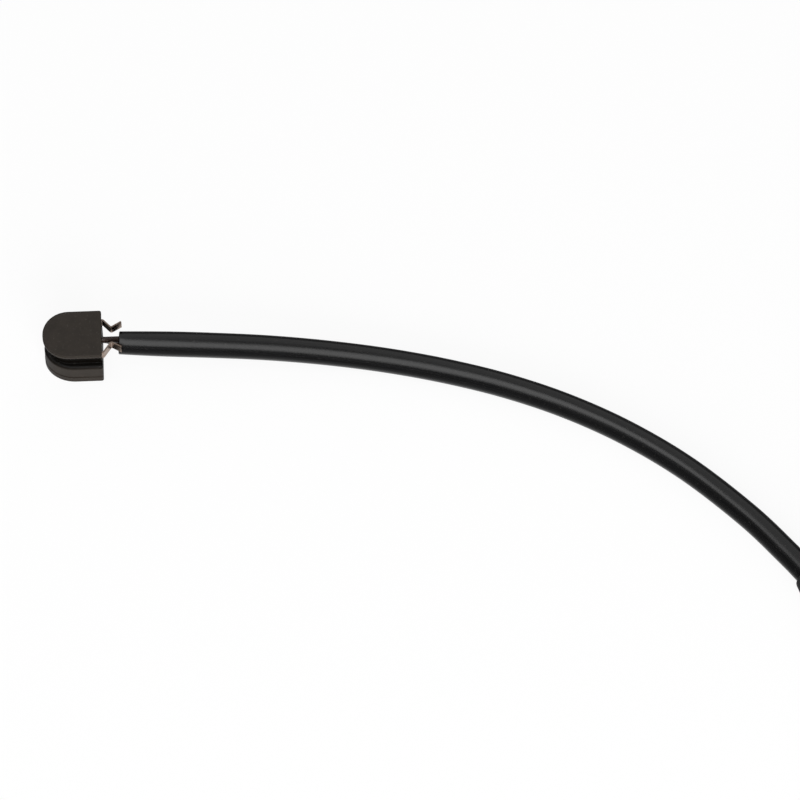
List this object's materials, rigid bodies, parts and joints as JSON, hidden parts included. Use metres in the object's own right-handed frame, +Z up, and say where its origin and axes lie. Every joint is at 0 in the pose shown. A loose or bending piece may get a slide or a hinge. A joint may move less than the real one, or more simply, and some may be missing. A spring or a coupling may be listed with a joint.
{
  "type": "brake pad wear sensor",
  "caption": "Clip-in wear sensor: grooved moulded head with a spring strip, sleeved lead with a rubber grommet, and a sealed plug at the end of the coiled lead.",
  "frame": {"origin": "centre of the wear face, the flat underside of the moulded head's block", "axes": "+X from the head's nose towards its lead, +Y across the head, +Z up from the wear face to the flange"},
  "size_m": [0.2915, 0.1278, 0.0158],
  "materials": {
    "head_plastic": "semi-matt moulded thermoset",
    "spring_steel": "bright strip with a warm tint",
    "copper": "bare drawn conductor",
    "tinned_brass": "tin plated",
    "wire_insulation": "satin extruded insulation",
    "sleeve_rubber": "satin extruded tube",
    "grommet_rubber": "matt moulded rubber",
    "tie_nylon": "moulded nylon",
    "connector_plastic": "moulded glass-filled nylon",
    "seal_silicone": "matt silicone",
    "lock_plastic": "moulded plastic"
  },
  "bodies": {
    "root": {"head_body": "head_plastic", "spring_clip": "spring_steel", "contact_loop": "copper", "splice_a": "tinned_brass", "splice_b": "tinned_brass", "wire_a": "wire_insulation", "wire_b": "wire_insulation", "sleeve": "sleeve_rubber", "sleeve_coil": "sleeve_rubber", "sleeve_tail": "sleeve_rubber", "grommet": "grommet_rubber", "coil_tie_a": "tie_nylon", "coil_tie_b": "tie_nylon", "strain_relief": "grommet_rubber", "rear_cover": "connector_plastic", "connector_housing": "connector_plastic", "terminal_lock": "lock_plastic", "ring_seal": "seal_silicone", "wire_seal_a": "seal_silicone", "wire_seal_b": "seal_silicone", "terminal_a": "tinned_brass", "terminal_b": "tinned_brass", "tail_wire_a": "wire_insulation", "tail_wire_b": "wire_insulation"}
  },
  "joints": []
}
